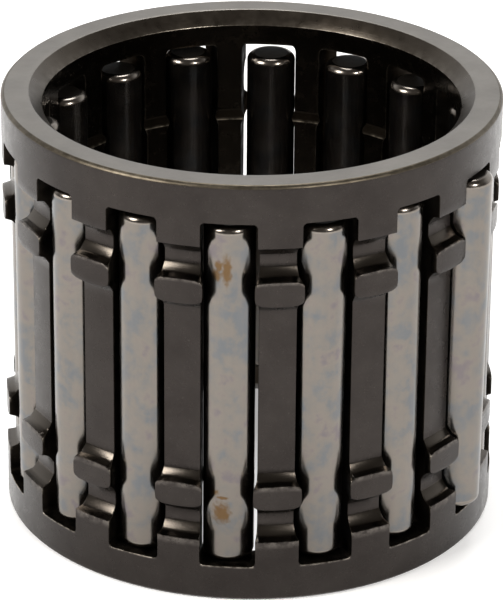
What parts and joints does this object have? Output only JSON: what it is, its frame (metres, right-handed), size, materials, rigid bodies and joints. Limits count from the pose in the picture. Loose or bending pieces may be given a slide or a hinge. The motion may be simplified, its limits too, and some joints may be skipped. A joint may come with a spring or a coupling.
{
  "type": "needle roller bearing",
  "caption": "Needle roller and cage assembly: a grooved steel ring with long window pockets that carries loose needle rollers to run straight between a shaft and a housing.",
  "frame": {"origin": "centre of the bearing: on its axis, midway between the cage's two end faces", "axes": "+Z along the bearing's axis, toward the face that is uppermost in the picture; roller_01 is on -Y"},
  "size_m": [0.0248, 0.0248, 0.022],
  "materials": {
    "cage_steel": "dark hardened steel, fine-turned, lightly oiled",
    "roller_steel": "ground and polished bearing steel"
  },
  "bodies": {
    "cage": {"cage": "cage_steel"},
    "roller_01": {"roller_01": "roller_steel"},
    "roller_02": {"roller_02": "roller_steel"},
    "roller_03": {"roller_03": "roller_steel"},
    "roller_04": {"roller_04": "roller_steel"},
    "roller_05": {"roller_05": "roller_steel"},
    "roller_06": {"roller_06": "roller_steel"},
    "roller_07": {"roller_07": "roller_steel"},
    "roller_08": {"roller_08": "roller_steel"},
    "roller_09": {"roller_09": "roller_steel"},
    "roller_10": {"roller_10": "roller_steel"},
    "roller_11": {"roller_11": "roller_steel"},
    "roller_12": {"roller_12": "roller_steel"},
    "roller_13": {"roller_13": "roller_steel"},
    "roller_14": {"roller_14": "roller_steel"},
    "roller_15": {"roller_15": "roller_steel"},
    "roller_16": {"roller_16": "roller_steel"}
  },
  "joints": [
    {"name": "roller_01_spin", "type": "hinge", "parent": "cage", "child": "roller_01", "pos_m": [-0.00007, -0.01084, -0.00019], "axis": [0, 0, 1], "continuous": true},
    {"name": "roller_02_spin", "type": "hinge", "parent": "cage", "child": "roller_02", "pos_m": [0.00417, -0.01015, -0.00014], "axis": [0.0056, -0.0135, 0.9999], "continuous": true},
    {"name": "roller_03_spin", "type": "hinge", "parent": "cage", "child": "roller_03", "pos_m": [0.00762, -0.00771, -0.00012], "axis": [0, 0, 1], "continuous": true},
    {"name": "roller_04_spin", "type": "hinge", "parent": "cage", "child": "roller_04", "pos_m": [0.01079, -0.00447, -0.00004], "axis": [0.0078, -0.0032, 1], "continuous": true},
    {"name": "roller_05_spin", "type": "hinge", "parent": "cage", "child": "roller_05", "pos_m": [0.01084, -0.00007, -0.00019], "axis": [0, 0, 1], "continuous": true},
    {"name": "roller_06_spin", "type": "hinge", "parent": "cage", "child": "roller_06", "pos_m": [0.01086, 0.0045, -0.00019], "axis": [0, 0, 1], "continuous": true},
    {"name": "roller_07_spin", "type": "hinge", "parent": "cage", "child": "roller_07", "pos_m": [0.00771, 0.00762, -0.00019], "axis": [0, 0, 1], "continuous": true},
    {"name": "roller_08_spin", "type": "hinge", "parent": "cage", "child": "roller_08", "pos_m": [0.00423, 0.00998, -0.00019], "axis": [0, 0, 1], "continuous": true},
    {"name": "roller_09_spin", "type": "hinge", "parent": "cage", "child": "roller_09", "pos_m": [0.00009, 0.01084, -0.00019], "axis": [0, 0, 1], "continuous": true},
    {"name": "roller_10_spin", "type": "hinge", "parent": "cage", "child": "roller_10", "pos_m": [-0.00419, 0.01, 0.00001], "axis": [0, 0, 1], "continuous": true},
    {"name": "roller_11_spin", "type": "hinge", "parent": "cage", "child": "roller_11", "pos_m": [-0.00762, 0.00771, -0.00019], "axis": [0, 0, 1], "continuous": true},
    {"name": "roller_12_spin", "type": "hinge", "parent": "cage", "child": "roller_12", "pos_m": [-0.00999, 0.00421, -0.00019], "axis": [0, 0, 1], "continuous": true},
    {"name": "roller_13_spin", "type": "hinge", "parent": "cage", "child": "roller_13", "pos_m": [-0.01084, 0.00007, -0.00019], "axis": [0, 0, 1], "continuous": true},
    {"name": "roller_14_spin", "type": "hinge", "parent": "cage", "child": "roller_14", "pos_m": [-0.01004, -0.00408, -0.00019], "axis": [0, 0, 1], "continuous": true},
    {"name": "roller_15_spin", "type": "hinge", "parent": "cage", "child": "roller_15", "pos_m": [-0.00771, -0.00762, -0.00019], "axis": [0, 0, 1], "continuous": true},
    {"name": "roller_16_spin", "type": "hinge", "parent": "cage", "child": "roller_16", "pos_m": [-0.00421, -0.00999, -0.00019], "axis": [0, 0, 1], "continuous": true}
  ]
}
